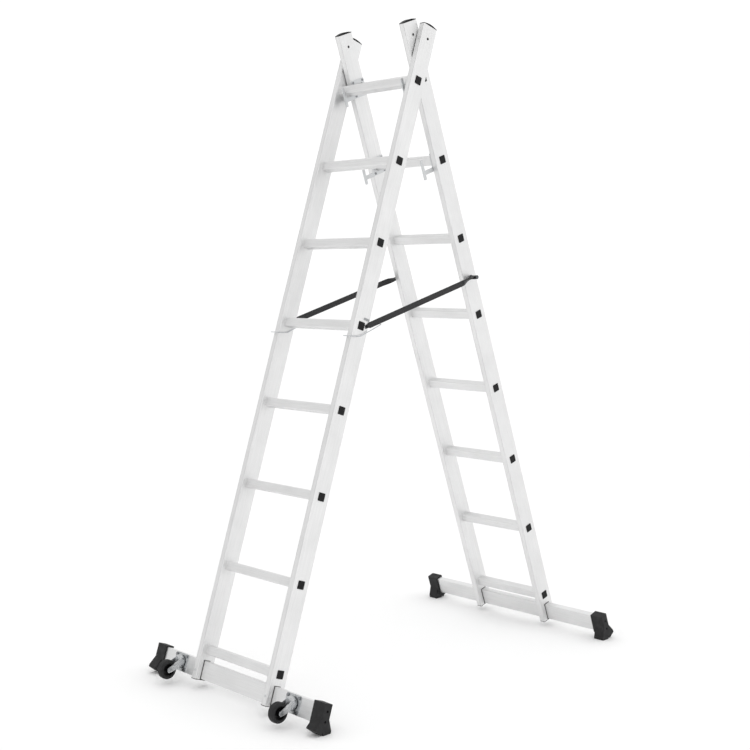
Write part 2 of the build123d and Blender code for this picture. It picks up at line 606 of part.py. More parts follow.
# --- Assembly --------------------------------------------------------------------------
def section_parts(name, place, stile_x, lean, face_sign):
    """The nodes that both sections have."""
    parts = {}
    for side_name, side in SIDES.items():
        x = side * stile_x
        body = drilled_for_bar_screw(stile(x), x, face_sign)
        parts[f"{name}_stile_{side_name}"] = body
        parts[f"{name}_foot_{side_name}"] = foot(side, lean)
    for index in range(RUNG_COUNT):
        parts[f"{name}_rung_{index + 1}"] = at(0, 0, index * RUNG_PITCH) * rung(stile_x)
    parts[f"{name}_rung_plugs"] = rung_plugs(stile_x)
    parts[f"{name}_top_caps"] = [top_cap(side * stile_x) for side in SIDES.values()]
    parts[f"{name}_bar_liners"] = [
        drilled_for_bar_screw(bar_liner(side * stile_x), side * stile_x, face_sign)
        for side in SIDES.values()]
    bar = stabiliser_bar()
    for side in SIDES.values():
        bar = drilled_for_bar_screw(bar, side * stile_x, face_sign)
    parts[f"{name}_stabiliser_bar"] = bar
    parts[f"{name}_bar_screws"] = [bar_screw(side * stile_x, face_sign)
                                   for side in SIDES.values()]
    parts[f"{name}_foot_screws"] = [foot_screw(side, u)
                                    for side in SIDES.values() for u in FOOT_SCREW_U]
    return {node: placed(shape, place) for node, shape in parts.items()}


def placed(shape, place):
    """Move one solid, or each solid of a group, to its place."""
    if isinstance(shape, list):
        return [place * piece for piece in shape]
    return place * shape


def front_parts():
    """The front section with its castors, strap anchors and bails."""
    parts = section_parts("front", FRONT_PLACE, FRONT_STILE_X, LEAN_FRONT, -1)
    bar = FRONT_PLACE.inverse() * parts["front_stabiliser_bar"]
    for side in SIDES.values():
        for bolt_x, bolt_u in castor_bolt_places(side * CASTOR_X):
            bar -= rod_w(CASTOR_BOLT_RADIUS + FIT_GAP, PLATE_FACE - 1, PLATE_FACE + BAR_WALL + 0.5,
                         bolt_x, bolt_u)
    parts["front_stabiliser_bar"] = FRONT_PLACE * bar
    extra = {}
    for side_name, side in SIDES.items():
        x = side * CASTOR_X
        extra[f"castor_plate_{side_name}"] = castor_plate(x)
        extra[f"castor_fork_{side_name}"] = castor_fork(x)
        extra[f"castor_axle_{side_name}"] = castor_axle(x)
        extra[f"castor_tyre_{side_name}"] = castor_tyre(x)
        extra[f"castor_hub_{side_name}"] = castor_hub(x)
        extra[f"wire_bail_{side_name}"] = wire_bail(side)
        hole = FRONT_PLACE * rod_x(WALL_PIN_RADIUS, side * FRONT_STILE_X,
                                   side * (FRONT_STILE_X + STILE_THICKNESS), *STRAP_FRONT)
        stile_node = f"front_stile_{side_name}"
        parts[stile_node] = parts[stile_node] - hole
        parts[f"strap_{side_name}"] = strap(side) - hole
    sides = SIDES.values()
    extra["castor_kingpins"] = [castor_kingpin(side * CASTOR_X) for side in sides]
    extra["castor_plate_bolts"] = [castor_bolt(x, u) for side in sides
                                   for x, u in castor_bolt_places(side * CASTOR_X)]
    extra["strap_anchor_rivets"] = [strap_anchor(side) for side in sides]
    extra["strap_keepers"] = [strap_keeper(side) for side in sides]
    parts.update({node: placed(shape, FRONT_PLACE) for node, shape in extra.items()})
    return parts


def rear_parts():
    """The rear section with its hook plates and strap pins."""
    parts = section_parts("rear", REAR_PLACE, REAR_STILE_X, LEAN_REAR, 1)
    for side_name, side in SIDES.items():
        holes = [rod_x(RIVET_RADIUS, side * (REAR_STILE_X - 20), side * REAR_STILE_X, w, u)
                 for rivet_side, w, u in hook_rivet_places() if rivet_side == side]
        stile_node = f"rear_stile_{side_name}"
        parts[stile_node] = parts[stile_node] - [REAR_PLACE * hole for hole in holes]
        for level, index in (("upper", 0), ("lower", 1)):
            parts[f"hook_plate_{level}_{side_name}"] = REAR_PLACE * hook_plate(side, index)
    parts["hook_plate_rivets"] = placed([hook_rivet(*place) for place in hook_rivet_places()],
                                        REAR_PLACE)
    parts["rear_strap_pins"] = placed([strap_pin(side) for side in SIDES.values()], REAR_PLACE)
    return parts


def solids_of(shape):
    """The solids of a node, whether it is one shape or a group."""
    pieces = shape if isinstance(shape, list) else [shape]
    return [solid for piece in pieces for solid in piece.solids()]


def footprint_shift(parts):
    """How far the ladder moves along y to put its origin in the middle of its depth."""
    boxes = [Compound(solids_of(shape)).bounding_box() for shape in parts.values()]
    return -(min(box.min.Y for box in boxes) + max(box.max.Y for box in boxes)) / 2


def build():
    """Every node of the finished ladder, by name, and the hinge's place along y."""
    parts = front_parts() | rear_parts()
    shift = footprint_shift(parts)
    nodes = {}
    for name, shape in parts.items():
        solids = [Pos(0, shift, 0) * solid for solid in solids_of(shape)]
        nodes[name] = solids[0] if len(solids) == 1 else Compound(children=solids)
    return nodes, shift


NODES, HINGE_Y = build()
os.makedirs("parts", exist_ok=True)
for node_name, node_shape in NODES.items():
    export_step(node_shape, f"parts/{node_name}.step")
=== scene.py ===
import logging
import math
from dataclasses import dataclass
from enum import Enum
from typing import Any, Iterable

import bmesh
import bpy
from mathutils import Matrix, Vector


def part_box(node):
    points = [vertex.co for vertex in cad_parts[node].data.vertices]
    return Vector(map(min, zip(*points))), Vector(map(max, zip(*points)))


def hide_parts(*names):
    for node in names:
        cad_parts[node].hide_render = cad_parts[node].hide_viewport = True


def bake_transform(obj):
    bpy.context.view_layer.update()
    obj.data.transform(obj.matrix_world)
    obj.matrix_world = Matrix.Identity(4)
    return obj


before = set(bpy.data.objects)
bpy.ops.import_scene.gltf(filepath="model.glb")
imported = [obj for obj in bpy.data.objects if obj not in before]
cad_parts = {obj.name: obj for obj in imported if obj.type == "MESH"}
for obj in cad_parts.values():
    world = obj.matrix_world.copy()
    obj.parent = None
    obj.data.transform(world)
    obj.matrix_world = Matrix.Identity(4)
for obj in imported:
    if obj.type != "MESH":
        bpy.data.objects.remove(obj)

LOG = logging.getLogger("multi_position_ladder")
MM = 0.001
SIDES = {"left": -1, "right": 1}
RUNGS = range(1, 9)


# --- Small shared tools ----------------------------------------------------------------
def linear(hex_colour: str) -> tuple[float, float, float, float]:
    """Turn an sRGB hex colour into linear light.

    Args:
        hex_colour: Six hex digits, such as "d8dadb".

    Returns:
        Red, green, blue and an alpha of 1, all linear.
    """
    channels = [int(hex_colour[i:i + 2], 16) / 255 for i in (0, 2, 4)]
    light = [c / 12.92 if c <= 0.04045 else ((c + 0.055) / 1.055) ** 2.4 for c in channels]
    return light[0], light[1], light[2], 1.0


def waves_per_metre(spacing_mm: float) -> float:
    """Pattern scale for a real spacing.

    Args:
        spacing_mm: Millimetres from one repeat to the next.

    Returns:
        Repeats in one metre.
    """
    return 1.0 / (spacing_mm * MM)


def add_node(tree: bpy.types.NodeTree, kind: str, settings: dict[str, Any] | None = None,
             **links: Any) -> bpy.types.Node:
    """Add one shader node with its settings, and link or set its inputs.

    Args:
        tree: The node tree it joins.
        kind: Blender's name for the node's class.
        settings: Values for the node's own properties.
        **links: Input name, with spaces as underscores, to an output socket or a value.

    Returns:
        The new node.
    """
    node = tree.nodes.new(kind)
    for name, value in (settings or {}).items():
        setattr(node, name, value)
    for name, value in links.items():
        wanted = name.replace("_", " ")
        socket = next(s for s in node.inputs
                      if wanted in (s.name, s.identifier, s.identifier.replace("_", " ")))
        if isinstance(value, bpy.types.NodeSocket):
            tree.links.new(value, socket)
        else:
            socket.default_value = value
    return node


def node_box(name: str) -> tuple[Vector, Vector]:
    """Box of a CAD node.

    Args:
        name: The node's name.

    Returns:
        Its lowest and highest corners, in metres.
    """
    low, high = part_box(name)
    return Vector(low), Vector(high)


def centre_of(name: str) -> Vector:
    """Middle of a CAD node.

    Args:
        name: The node's name.

    Returns:
        The middle of its box, in metres.
    """
    low, high = node_box(name)
    return (low + high) / 2


# --- Finishes --------------------------------------------------------------------------
class Grain(Enum):
    """The direction that an extrusion was drawn in."""

    FRONT_STILE = "front_stile"
    REAR_STILE = "rear_stile"
    ACROSS = "across"

    def turn(self) -> tuple[float, float, float]:
        """Rotation that brings the drawing direction onto the texture's z axis."""
        lean = section_lean()
        return {Grain.FRONT_STILE: (lean[0], 0.0, 0.0), Grain.REAR_STILE: (-lean[1], 0.0, 0.0),
                Grain.ACROSS: (0.0, -math.pi / 2, 0.0)}[self]


def section_lean() -> tuple[float, float]:
    """Leans of the front and rear sections from the vertical, in radians, from the rungs."""
    leans = []
    for name in ("front", "rear"):
        run = centre_of(f"{name}_rung_8") - centre_of(f"{name}_rung_1")
        leans.append(math.atan2(abs(run.y), abs(run.z)))
    return leans[0], leans[1]


@dataclass(frozen=True)
class Finish:
    """A surface finish; the subclasses say what the real one is made of."""

    name: str

    def material(self) -> bpy.types.Material:
        """The Blender material, built once for each name."""
        found = bpy.data.materials.get(self.name)
        if found is not None:
            return found
        made = bpy.data.materials.new(self.name)
        made.use_nodes = True
        tree = made.node_tree
        tree.nodes.clear()
        shader = self.surface(tree)
        add_node(tree, "ShaderNodeOutputMaterial", Surface=shader.outputs[0])
        return made

    def surface(self, tree: bpy.types.NodeTree) -> bpy.types.Node:
        """Build the shader. Each finish has its own.

        Args:
            tree: The material's node tree.

        Returns:
            The shader node.
        """
        raise NotImplementedError

    def metres(self, tree: bpy.types.NodeTree) -> bpy.types.NodeSocket:
        """Coordinates in metres on the piece itself.

        Args:
            tree: The material's node tree.

        Returns:
            The socket that gives them.
        """
        return add_node(tree, "ShaderNodeTexCoord").outputs["Object"]


@dataclass(frozen=True)
class MillAluminium(Finish):
    """Mill-finished 6060 aluminium, extruded: pale, satin, with fine die lines along it."""

    grain: Grain = Grain.ACROSS
    light_hex: str = "ececec"
    dull_hex: str = "dedede"
    die_line_mm: float = 0.9        # real die lines are finer; drawn coarse enough to show
    blotch_mm: float = 110.0        # slow changes where the metal cooled on the run-out table
    blotch_share: float = 0.3
    draw_stretch: float = 0.012     # how little the die lines change along the extrusion

    def surface(self, tree: bpy.types.NodeTree) -> bpy.types.Node:
        """Long streaks from the die, over faint cloudy changes of brightness."""
        along = add_node(tree, "ShaderNodeMapping", Vector=self.metres(tree),
                         Rotation=self.grain.turn())
        drawn = add_node(tree, "ShaderNodeMapping", Vector=along.outputs[0],
                         Scale=(1.0, 1.0, self.draw_stretch))
        lines = add_node(tree, "ShaderNodeTexNoise", Vector=drawn.outputs[0],
                         Scale=waves_per_metre(self.die_line_mm), Detail=3.0)
        cloud = add_node(tree, "ShaderNodeTexNoise", Vector=self.metres(tree),
                         Scale=waves_per_metre(self.blotch_mm), Detail=2.0)
        mixed = add_node(tree, "ShaderNodeMix", {"data_type": "FLOAT"},
                         Factor_Float=self.blotch_share)
        tree.links.new(lines.outputs["Fac"], mixed.inputs["A"])
        tree.links.new(cloud.outputs["Fac"], mixed.inputs["B"])
        tone = add_node(tree, "ShaderNodeValToRGB", Fac=mixed.outputs["Result"])
        tone.color_ramp.elements[0].position = 0.35
        tone.color_ramp.elements[0].color = linear(self.dull_hex)
        tone.color_ramp.elements[1].position = 0.65
        tone.color_ramp.elements[1].color = linear(self.light_hex)
        rough = add_node(tree, "ShaderNodeMapRange", Value=lines.outputs["Fac"],
                         From_Min=0.3, From_Max=0.7, To_Min=0.40, To_Max=0.52)
        bump = add_node(tree, "ShaderNodeBump", Height=lines.outputs["Fac"],
                        Strength=0.25, Distance=0.00012)
        return add_node(tree, "ShaderNodeBsdfPrincipled", Base_Color=tone.outputs[0],
                        Metallic=1.0, Roughness=rough.outputs[0], Normal=bump.outputs[0])


@dataclass(frozen=True)
class ZincPlatedSteel(Finish):
    """Bright zinc plate on pressed or turned steel: cool, slightly cloudy, half glossy."""

    light_hex: str = "d2d4d5"
    cloud_hex: str = "a9acae"
    spangle_mm: float = 5.0
    scratch_mm: float = 0.7
    scratch_turn: tuple[float, float, float] = (0.4, 0.3, 0.2)

    def surface(self, tree: bpy.types.NodeTree) -> bpy.types.Node:
        """Cloudy plating with fine handling scratches."""
        metres = self.metres(tree)
        cloud = add_node(tree, "ShaderNodeTexNoise", Vector=metres,
                         Scale=waves_per_metre(self.spangle_mm), Detail=4.0)
        tone = add_node(tree, "ShaderNodeValToRGB", Fac=cloud.outputs["Fac"])
        tone.color_ramp.elements[0].position = 0.3
        tone.color_ramp.elements[0].color = linear(self.cloud_hex)
        tone.color_ramp.elements[1].position = 0.68
        tone.color_ramp.elements[1].color = linear(self.light_hex)
        drawn = add_node(tree, "ShaderNodeMapping", Vector=metres, Scale=(1.0, 0.15, 1.0),
                         Rotation=self.scratch_turn)
        scratch = add_node(tree, "ShaderNodeTexNoise", Vector=drawn.outputs[0],
                           Scale=waves_per_metre(self.scratch_mm), Detail=2.0)
        rough = add_node(tree, "ShaderNodeMapRange", Value=cloud.outputs["Fac"],
                         From_Min=0.3, From_Max=0.7, To_Min=0.34, To_Max=0.22)
        bump = add_node(tree, "ShaderNodeBump", Height=scratch.outputs["Fac"],
                        Strength=0.12, Distance=0.00005)
        return add_node(tree, "ShaderNodeBsdfPrincipled", Base_Color=tone.outputs[0],
                        Metallic=1.0, Roughness=rough.outputs[0], Normal=bump.outputs[0])


@dataclass(frozen=True)
class MouldedPlastic(Finish):
    """Polyamide or polypropylene from a spark-eroded mould: dull, with a fine even grain."""

    colour_hex: str = "0e0e0f"
    scuff_hex: str = "1c1c1d"
    grain_mm: float = 0.8           # the mould's grain is finer; drawn coarse enough to show
    scuff_mm: float = 14.0
    roughness: float = 0.5
    shine: float = 0.2              # specular level of the grained skin

    def surface(self, tree: bpy.types.NodeTree) -> bpy.types.Node:
        """Grainy bump with faint paler scuffs."""
        metres = self.metres(tree)
        grain = add_node(tree, "ShaderNodeTexNoise", Vector=metres,
                         Scale=waves_per_metre(self.grain_mm), Detail=3.0)
        scuff = add_node(tree, "ShaderNodeTexNoise", Vector=metres,
                         Scale=waves_per_metre(self.scuff_mm), Detail=6.0, Roughness=0.7)
        tone = add_node(tree, "ShaderNodeValToRGB", Fac=scuff.outputs["Fac"])
        tone.color_ramp.elements[0].position = 0.45
        tone.color_ramp.elements[0].color = linear(self.colour_hex)
        tone.color_ramp.elements[1].position = 0.75
        tone.color_ramp.elements[1].color = linear(self.scuff_hex)
        rough = add_node(tree, "ShaderNodeMapRange", Value=scuff.outputs["Fac"],
                         From_Min=0.3, From_Max=0.7,
                         To_Min=self.roughness - 0.06, To_Max=self.roughness + 0.1)
        bump = add_node(tree, "ShaderNodeBump", Height=grain.outputs["Fac"],
                        Strength=0.3, Distance=0.0001)
        return add_node(tree, "ShaderNodeBsdfPrincipled", Base_Color=tone.outputs[0],
                        Roughness=rough.outputs[0], IOR=1.5, Specular_IOR_Level=self.shine,
                        Normal=bump.outputs[0])


@dataclass(frozen=True)
class MouldedRubber(Finish):
    """Compression-moulded rubber: almost black, very dull, dusty where it is handled."""

    colour_hex: str = "161617"
    dust_hex: str = "2a2a2b"
    pore_mm: float = 1.2
    dust_mm: float = 18.0

    def surface(self, tree: bpy.types.NodeTree) -> bpy.types.Node:
        """Soft pores with a film of dust in large patches."""
        metres = self.metres(tree)
        dust = add_node(tree, "ShaderNodeTexNoise", Vector=metres,
                        Scale=waves_per_metre(self.dust_mm), Detail=5.0)
        tone = add_node(tree, "ShaderNodeValToRGB", Fac=dust.outputs["Fac"])
        tone.color_ramp.elements[0].position = 0.42
        tone.color_ramp.elements[0].color = linear(self.colour_hex)
        tone.color_ramp.elements[1].position = 0.8
        tone.color_ramp.elements[1].color = linear(self.dust_hex)
        pores = add_node(tree, "ShaderNodeTexNoise", Vector=metres,
                         Scale=waves_per_metre(self.pore_mm), Detail=2.0)
        bump = add_node(tree, "ShaderNodeBump", Height=pores.outputs["Fac"],
                        Strength=0.35, Distance=0.00015)
        return add_node(tree, "ShaderNodeBsdfPrincipled", Base_Color=tone.outputs[0],
                        Roughness=0.72, IOR=1.52, Specular_IOR_Level=0.4,
                        Normal=bump.outputs[0])


@dataclass(frozen=True)
class PolyesterWebbing(Finish):
    """Woven black polyester webbing, in a herringbone whose rows run along the band."""

    yarn_hex: str = "2b2b2d"
    # Painted shade: the hollows between picks get this darker colour.
    gap_shade_hex: str = "0c0c0d"
    yarn_mm: float = 1.6            # pitch of the picks along the band
    row_mm: float = 2.5             # width of one herringbone row
    fuzz_mm: float = 0.6

    def surface(self, tree: bpy.types.NodeTree) -> bpy.types.Node:
        """Slanted picks that change direction from row to row, with painted shade in the gaps
        between them.
        """
        layout = add_node(tree, "ShaderNodeUVMap", {"uv_map": "band"})
        parts = add_node(tree, "ShaderNodeSeparateXYZ", Vector=layout.outputs[0])
        folded = add_node(tree, "ShaderNodeMath", {"operation": "PINGPONG"},
                          Value=parts.outputs["Y"])
        folded.inputs[1].default_value = self.row_mm * MM
        slant = add_node(tree, "ShaderNodeMath", {"operation": "ADD"},
                         Value=parts.outputs["X"])
        tree.links.new(folded.outputs[0], slant.inputs[1])
        phase = add_node(tree, "ShaderNodeMath", {"operation": "MULTIPLY"},
                         Value=slant.outputs[0])
        phase.inputs[1].default_value = 2 * math.pi * waves_per_metre(self.yarn_mm)
        pick = add_node(tree, "ShaderNodeMath", {"operation": "SINE"}, Value=phase.outputs[0])
        height = add_node(tree, "ShaderNodeMapRange", Value=pick.outputs[0],
                          From_Min=-1.0, From_Max=1.0)
        fuzz = add_node(tree, "ShaderNodeTexNoise", Vector=self.metres(tree),
                        Scale=waves_per_metre(self.fuzz_mm), Detail=2.0)
        # Low parts of the weave take the darker colour: painted shade in the weave's hollows.
        tone = add_node(tree, "ShaderNodeValToRGB", Fac=height.outputs[0])
        tone.color_ramp.elements[0].color = linear(self.gap_shade_hex)
        tone.color_ramp.elements[1].color = linear(self.yarn_hex)
        relief = add_node(tree, "ShaderNodeMath", {"operation": "MULTIPLY_ADD"},
                          Value=fuzz.outputs["Fac"])
        relief.inputs[1].default_value = 0.35
        tree.links.new(height.outputs[0], relief.inputs[2])
        bump = add_node(tree, "ShaderNodeBump", Height=relief.outputs[0],
                        Strength=0.6, Distance=0.00025)
        return add_node(tree, "ShaderNodeBsdfPrincipled", Base_Color=tone.outputs[0],
                        Roughness=0.78, Sheen_Weight=0.25, Sheen_Roughness=0.4,
                        Normal=bump.outputs[0])


@dataclass(frozen=True)
class SewingThread(Finish):
    """Bonded polyester sewing thread, slightly paler and glossier than the webbing."""

    colour_hex: str = "3a3a3d"
    twist_mm: float = 2.0

    def surface(self, tree: bpy.types.NodeTree) -> bpy.types.Node:
        """A fine twist along the thread."""
        twist = add_node(tree, "ShaderNodeTexWave", Vector=self.metres(tree),
                         Scale=waves_per_metre(self.twist_mm), Distortion=1.0)
        bump = add_node(tree, "ShaderNodeBump", Height=twist.outputs["Fac"],
                        Strength=0.3, Distance=0.0001)
        return add_node(tree, "ShaderNodeBsdfPrincipled", Base_Color=linear(self.colour_hex),
                        Roughness=0.55, Normal=bump.outputs[0])


@dataclass(frozen=True)
class StudioPaper(Finish):
    """The seamless white paper that the ladder stands on."""

    colour_hex: str = "ffffff"
    fibre_mm: float = 3.0

    def surface(self, tree: bpy.types.NodeTree) -> bpy.types.Node:
        """Even and matt, with the faintest fibre."""
        fibre = add_node(tree, "ShaderNodeTexNoise", Vector=self.metres(tree),
                         Scale=waves_per_metre(self.fibre_mm), Detail=3.0)
        bump = add_node(tree, "ShaderNodeBump", Height=fibre.outputs["Fac"],
                        Strength=0.05, Distance=0.0001)
        return add_node(tree, "ShaderNodeBsdfPrincipled", Base_Color=linear(self.colour_hex),
                        Roughness=0.95, Normal=bump.outputs[0])


ZINC_PLATE = ZincPlatedSteel("zinc_plated_steel")
# Rivets, castor kingpins and castor bolts: steel painted darker than the plates around them, as
# painted shade round these small fasteners.
SHADED_RIVET_STEEL = ZincPlatedSteel("rivet_steel_painted_shade", "a0a2a4", "75777a")
BLACKENED_STEEL = ZincPlatedSteel("blackened_steel", "303032", "1e1e20")


# --- Dressing the CAD nodes ------------------------------------------------------------
def dress(node: str, finish: Finish) -> None:
    """Give a CAD node its finish.

    Args:
        node: The node's name.
        finish: What its surface is.
    """
    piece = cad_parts[node]
    for index in range(max(1, len(piece.material_slots))):
        if not piece.material_slots:
            piece.data.materials.append(finish.material())
        piece.material_slots[index].link = "OBJECT"
        piece.material_slots[index].material = finish.material()
    LOG.info("dressed %s with %s", node, finish.name)


def new_piece(name: str, mesh: bmesh.types.BMesh, finishes: Iterable[Finish]) -> bpy.types.Object:
    """Turn a bmesh into a smooth-shaded object in the scene.

    Args:
        name: The piece's name.
        mesh: Its geometry, which is freed.
        finishes: One finish for each material index.

    Returns:
        The new object.
    """
    data = bpy.data.meshes.new(name)
    bmesh.ops.recalc_face_normals(mesh, faces=mesh.faces)
    mesh.to_mesh(data)
    mesh.free()
    for finish in finishes:
        data.materials.append(finish.material())
    data.shade_smooth()
    data.set_sharp_from_angle(angle=math.radians(40))
    piece = bpy.data.objects.new(name, data)
    bpy.context.collection.objects.link(piece)
    return piece


def ease_edges(node: str, radius: float) -> None:
    """Round a CAD node's sharp edges with a modifier, which leaves its mesh alone.

    Args:
        node: The node's name.
        radius: The rounding, in metres.
    """
    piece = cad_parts[node]
    weld = piece.modifiers.new("weld", "WELD")
    weld.merge_threshold = 0.01 * MM
    bevel = piece.modifiers.new("eased_edges", "BEVEL")
    bevel.width, bevel.segments = radius, 2
    bevel.limit_method, bevel.angle_limit = "ANGLE", math.radians(35)
    bevel.use_clamp_overlap = True


@dataclass
class LadderSection:
    """One section: stiles, rungs, stabiliser bar, feet, and their trim."""

    name: str
    grain: Grain
    plastic: Finish = MouldedPlastic("moulded_polyamide")
    rubber: Finish = MouldedRubber("moulded_foot_rubber")
    screws: Finish = ZINC_PLATE
    foot_screws: Finish = BLACKENED_STEEL
    foot_easing: float = 0.9 * MM

    def build(self) -> None:
        """Dress every node of the section."""
        along = MillAluminium(f"mill_aluminium_{self.grain.value}", self.grain)
        across = MillAluminium("mill_aluminium_across", Grain.ACROSS)
        for side in SIDES:
            dress(f"{self.name}_stile_{side}", along)
            dress(f"{self.name}_foot_{side}", self.rubber)
            ease_edges(f"{self.name}_foot_{side}", self.foot_easing)
        for index in RUNGS:
            dress(f"{self.name}_rung_{index}", across)
        dress(f"{self.name}_stabiliser_bar", across)
        for trim in ("rung_plugs", "top_caps", "bar_liners"):
            dress(f"{self.name}_{trim}", self.plastic)
        dress(f"{self.name}_bar_screws", self.screws)
        dress(f"{self.name}_foot_screws", self.foot_screws)
        LOG.info("built %s section", self.name)


@dataclass
class HookPlates:
    """The four pressed plates that carry the front section, with their rivets."""

    plate: Finish = ZINC_PLATE
    rivet: Finish = SHADED_RIVET_STEEL
    # The strap pins' steel is painted dark: painted shade where the pins sit inside the strap
    # loops.
    pin: Finish = ZincPlatedSteel("pin_steel_painted_shade", "6c6e70", "4a4c4e")

    def build(self) -> None:
        """Dress the plates, rivets and strap pins."""
        for side in SIDES:
            for level in ("upper", "lower"):
                dress(f"hook_plate_{level}_{side}", self.plate)
        dress("hook_plate_rivets", self.rivet)
        dress("rear_strap_pins", self.pin)


@dataclass
class Castor:
    """One castor: plate, kingpin, fork and axle, with a moulded wheel."""

    side: str
    fork: Finish = ZincPlatedSteel("bright_zinc_fork", "dadbdc", "bcbec0")
    steel: Finish = ZincPlatedSteel("dull_zinc_plate", "cccecf", "a2a5a7")
    tyre: Finish = MouldedRubber("castor_tyre_rubber", "171718", "28282a")
    hub: Finish = MouldedPlastic("castor_hub_polyamide", "0a0a0b", "161617")

    def build(self) -> None:
        """Dress the steel parts and the wheel."""
        dress(f"castor_fork_{self.side}", self.fork)
        for part in ("plate", "axle"):
            dress(f"castor_{part}_{self.side}", self.steel)
        dress(f"castor_tyre_{self.side}", self.tyre)
        dress(f"castor_hub_{self.side}", self.hub)


# --- The webbing strap -----------------------------------------------------------------
@dataclass
class Station:
    """One cross-section of a band of webbing."""

    centre: Vector
    across: Vector
    through: Vector
    distance: float


@dataclass
class WebbingStrap:
    """A taut band: riveted flat to the front stile, turned a quarter, and looped round
    the pin on the rear stile with its end sewn back."""

    side: str
    width: float = 20 * MM
    thickness: float = 2 * MM
    rivet_head: float = 1.6 * MM
    pin_radius: float = 4 * MM
    tail: float = 5 * MM
    tail_width: float = 12 * MM
    taper: float = 14 * MM
    twist: float = 80 * MM
    sewn_from: float = 78 * MM      # distances back from the pin
    sewn_to: float = 24 * MM
    rib_pitch: float = 2.5 * MM
    rib_height: float = 0.12 * MM
    step: float = 5 * MM
    clearance: float = 0.3 * MM     # between the loop and its pin
    stitch_pitch: float = 3.6 * MM
    stitch_length: float = 2.7 * MM
    stitch_radius: float = 0.35 * MM
    webbing: Finish = PolyesterWebbing("black_polyester_webbing")
    thread: Finish = SewingThread("bonded_sewing_thread")

    def __post_init__(self) -> None:
        """Read the two ends from the frame."""
        sign = SIDES[self.side]
        rivets, pins = node_box("strap_anchor_rivets"), node_box("rear_strap_pins")
        band_low, band_high = node_box(f"strap_{self.side}")
        self.sign = sign
        self.anchor = (rivets[0] + rivets[1]) / 2
        self.pin = (pins[0] + pins[1]) / 2
        self.flat_x = sign * (rivets[1].x - self.rivet_head - self.thickness / 2)
        inner = band_low.x if sign > 0 else band_high.x
        self.loop_x = inner + sign * self.width / 2
        run = self.pin - self.anchor
        self.length = math.hypot(run.y, run.z)
        self.along = Vector((0, run.y, run.z)).normalized()
        self.square = Vector((0, -self.along.z, self.along.y))
        self.outward = Vector((sign, 0, 0))

    def turn_at(self, distance: float) -> float:
        """How far the band has turned towards lying across the ladder.

        Args:
            distance: Metres from the anchor rivet.

        Returns:
            From 0 beside the front stile to 1 at the pin.
        """
        start = self.length - self.twist - self.pin_radius
        part = min(1.0, max(0.0, (distance - start) / self.twist))
        return part * part * (3 - 2 * part)

    def station(self, distance: float, offset: float) -> Station:
        """A cross-section on the straight run.

        Args:
            distance: Metres from the anchor rivet towards the pin.
            offset: Metres through the band, positive on the upper layer.

        Returns:
            The cross-section there.
        """
        turn = self.turn_at(distance)
        angle = turn * math.pi / 2
        across = self.square * math.cos(angle) + self.outward * math.sin(angle)
        through = self.outward * math.cos(angle) - self.square * math.sin(angle)
        x = self.flat_x + (self.loop_x - self.flat_x) * turn
        centre = Vector((x, self.anchor.y, self.anchor.z)) + self.along * distance
        return Station(centre + through * offset, across, through, distance)

    def layer_gap(self, distance: float) -> float:
        """Half the distance between the two layers near the loop.

        Args:
            distance: Metres from the anchor rivet.

        Returns:
            Metres, zero where there is one layer.
        """
        ease_in = min(1.0, max(0.0, (distance - self.length + self.sewn_from) / (8 * MM)))
        layer = self.thickness * 0.52 * ease_in
        loop = self.pin_radius + self.clearance + self.thickness / 2
        opening = min(1.0, max(0.0, (distance - self.length + self.sewn_to) / self.sewn_to))
        return layer + (loop - layer) * opening * opening * (3 - 2 * opening)

    def main_run(self) -> list[Station]:
        """From the tail behind the rivet to the pin."""
        count = round((self.length + self.tail) / self.step)
        distances = [-self.tail + (self.length + self.tail) * i / count for i in range(count + 1)]
        return [self.station(d, -self.layer_gap(d)) for d in distances]

    def loop_run(self) -> list[Station]:
        """Half a turn round the back of the pin."""
        radius = self.pin_radius + self.clearance + self.thickness / 2
        centre = Vector((self.loop_x, self.pin.y, self.pin.z))
        stations = []
        for i in range(1, 12):
            angle = math.pi * i / 12
            out = self.square * math.cos(angle) + self.along * math.sin(angle)
            stations.append(Station(centre + out * radius, self.outward, -out,
                                    self.length + radius * angle))
        return stations

    def return_run(self) -> list[Station]:
        """Back along the underside to the sewn end."""
        end = self.length - self.sewn_from + 6 * MM
        count = round((self.length - end) / self.step)
        stations = []
        turned = self.length + math.pi * (self.pin_radius + self.thickness / 2)
        for i in range(count + 1):
            d = self.length - (self.length - end) * i / count
            there = self.station(d, self.layer_gap(d))
            stations.append(Station(there.centre, there.across, -there.through,
                                    turned + self.length - d))
        return stations

    def half_width(self, distance: float) -> float:
        """Half the band's width, narrower at the tail.

        Args:
            distance: Metres from the anchor rivet.

        Returns:
            Half the width there, in metres.
        """
        part = min(1.0, max(0.0, (distance - self.taper / 3) / (self.taper * 2 / 3)))
        return (self.tail_width + (self.width - self.tail_width) * part) / 2

    def outline(self, half: float) -> list[tuple[float, float]]:
        """The band's section: ribbed faces between two rounded selvedges.

        Args:
            half: Half the band's width there.

        Returns:
            Points as (across, through), going round once.
        """
        edge = self.thickness / 2
        ribs = max(2, round(2 * (half - edge) / self.rib_pitch))
        face = []
        for i in range(4 * ribs + 1):
            place = -(half - edge) + 2 * (half - edge) * i / (4 * ribs)
            relief = self.rib_height * (math.cos(2 * math.pi * i / 4) - 1) / 2
            face.append((place, edge + relief))
        points = list(face)
        for i in range(1, 6):
            angle = math.pi / 2 - math.pi * i / 6
            points.append((half - edge + edge * math.cos(angle), edge * math.sin(angle)))
        points += [(-a, -t) for a, t in face]
        for i in range(1, 6):
            angle = math.pi / 2 + math.pi * i / 6
            points.append((-(half - edge) + edge * math.cos(angle), edge * math.sin(angle)))
        return points

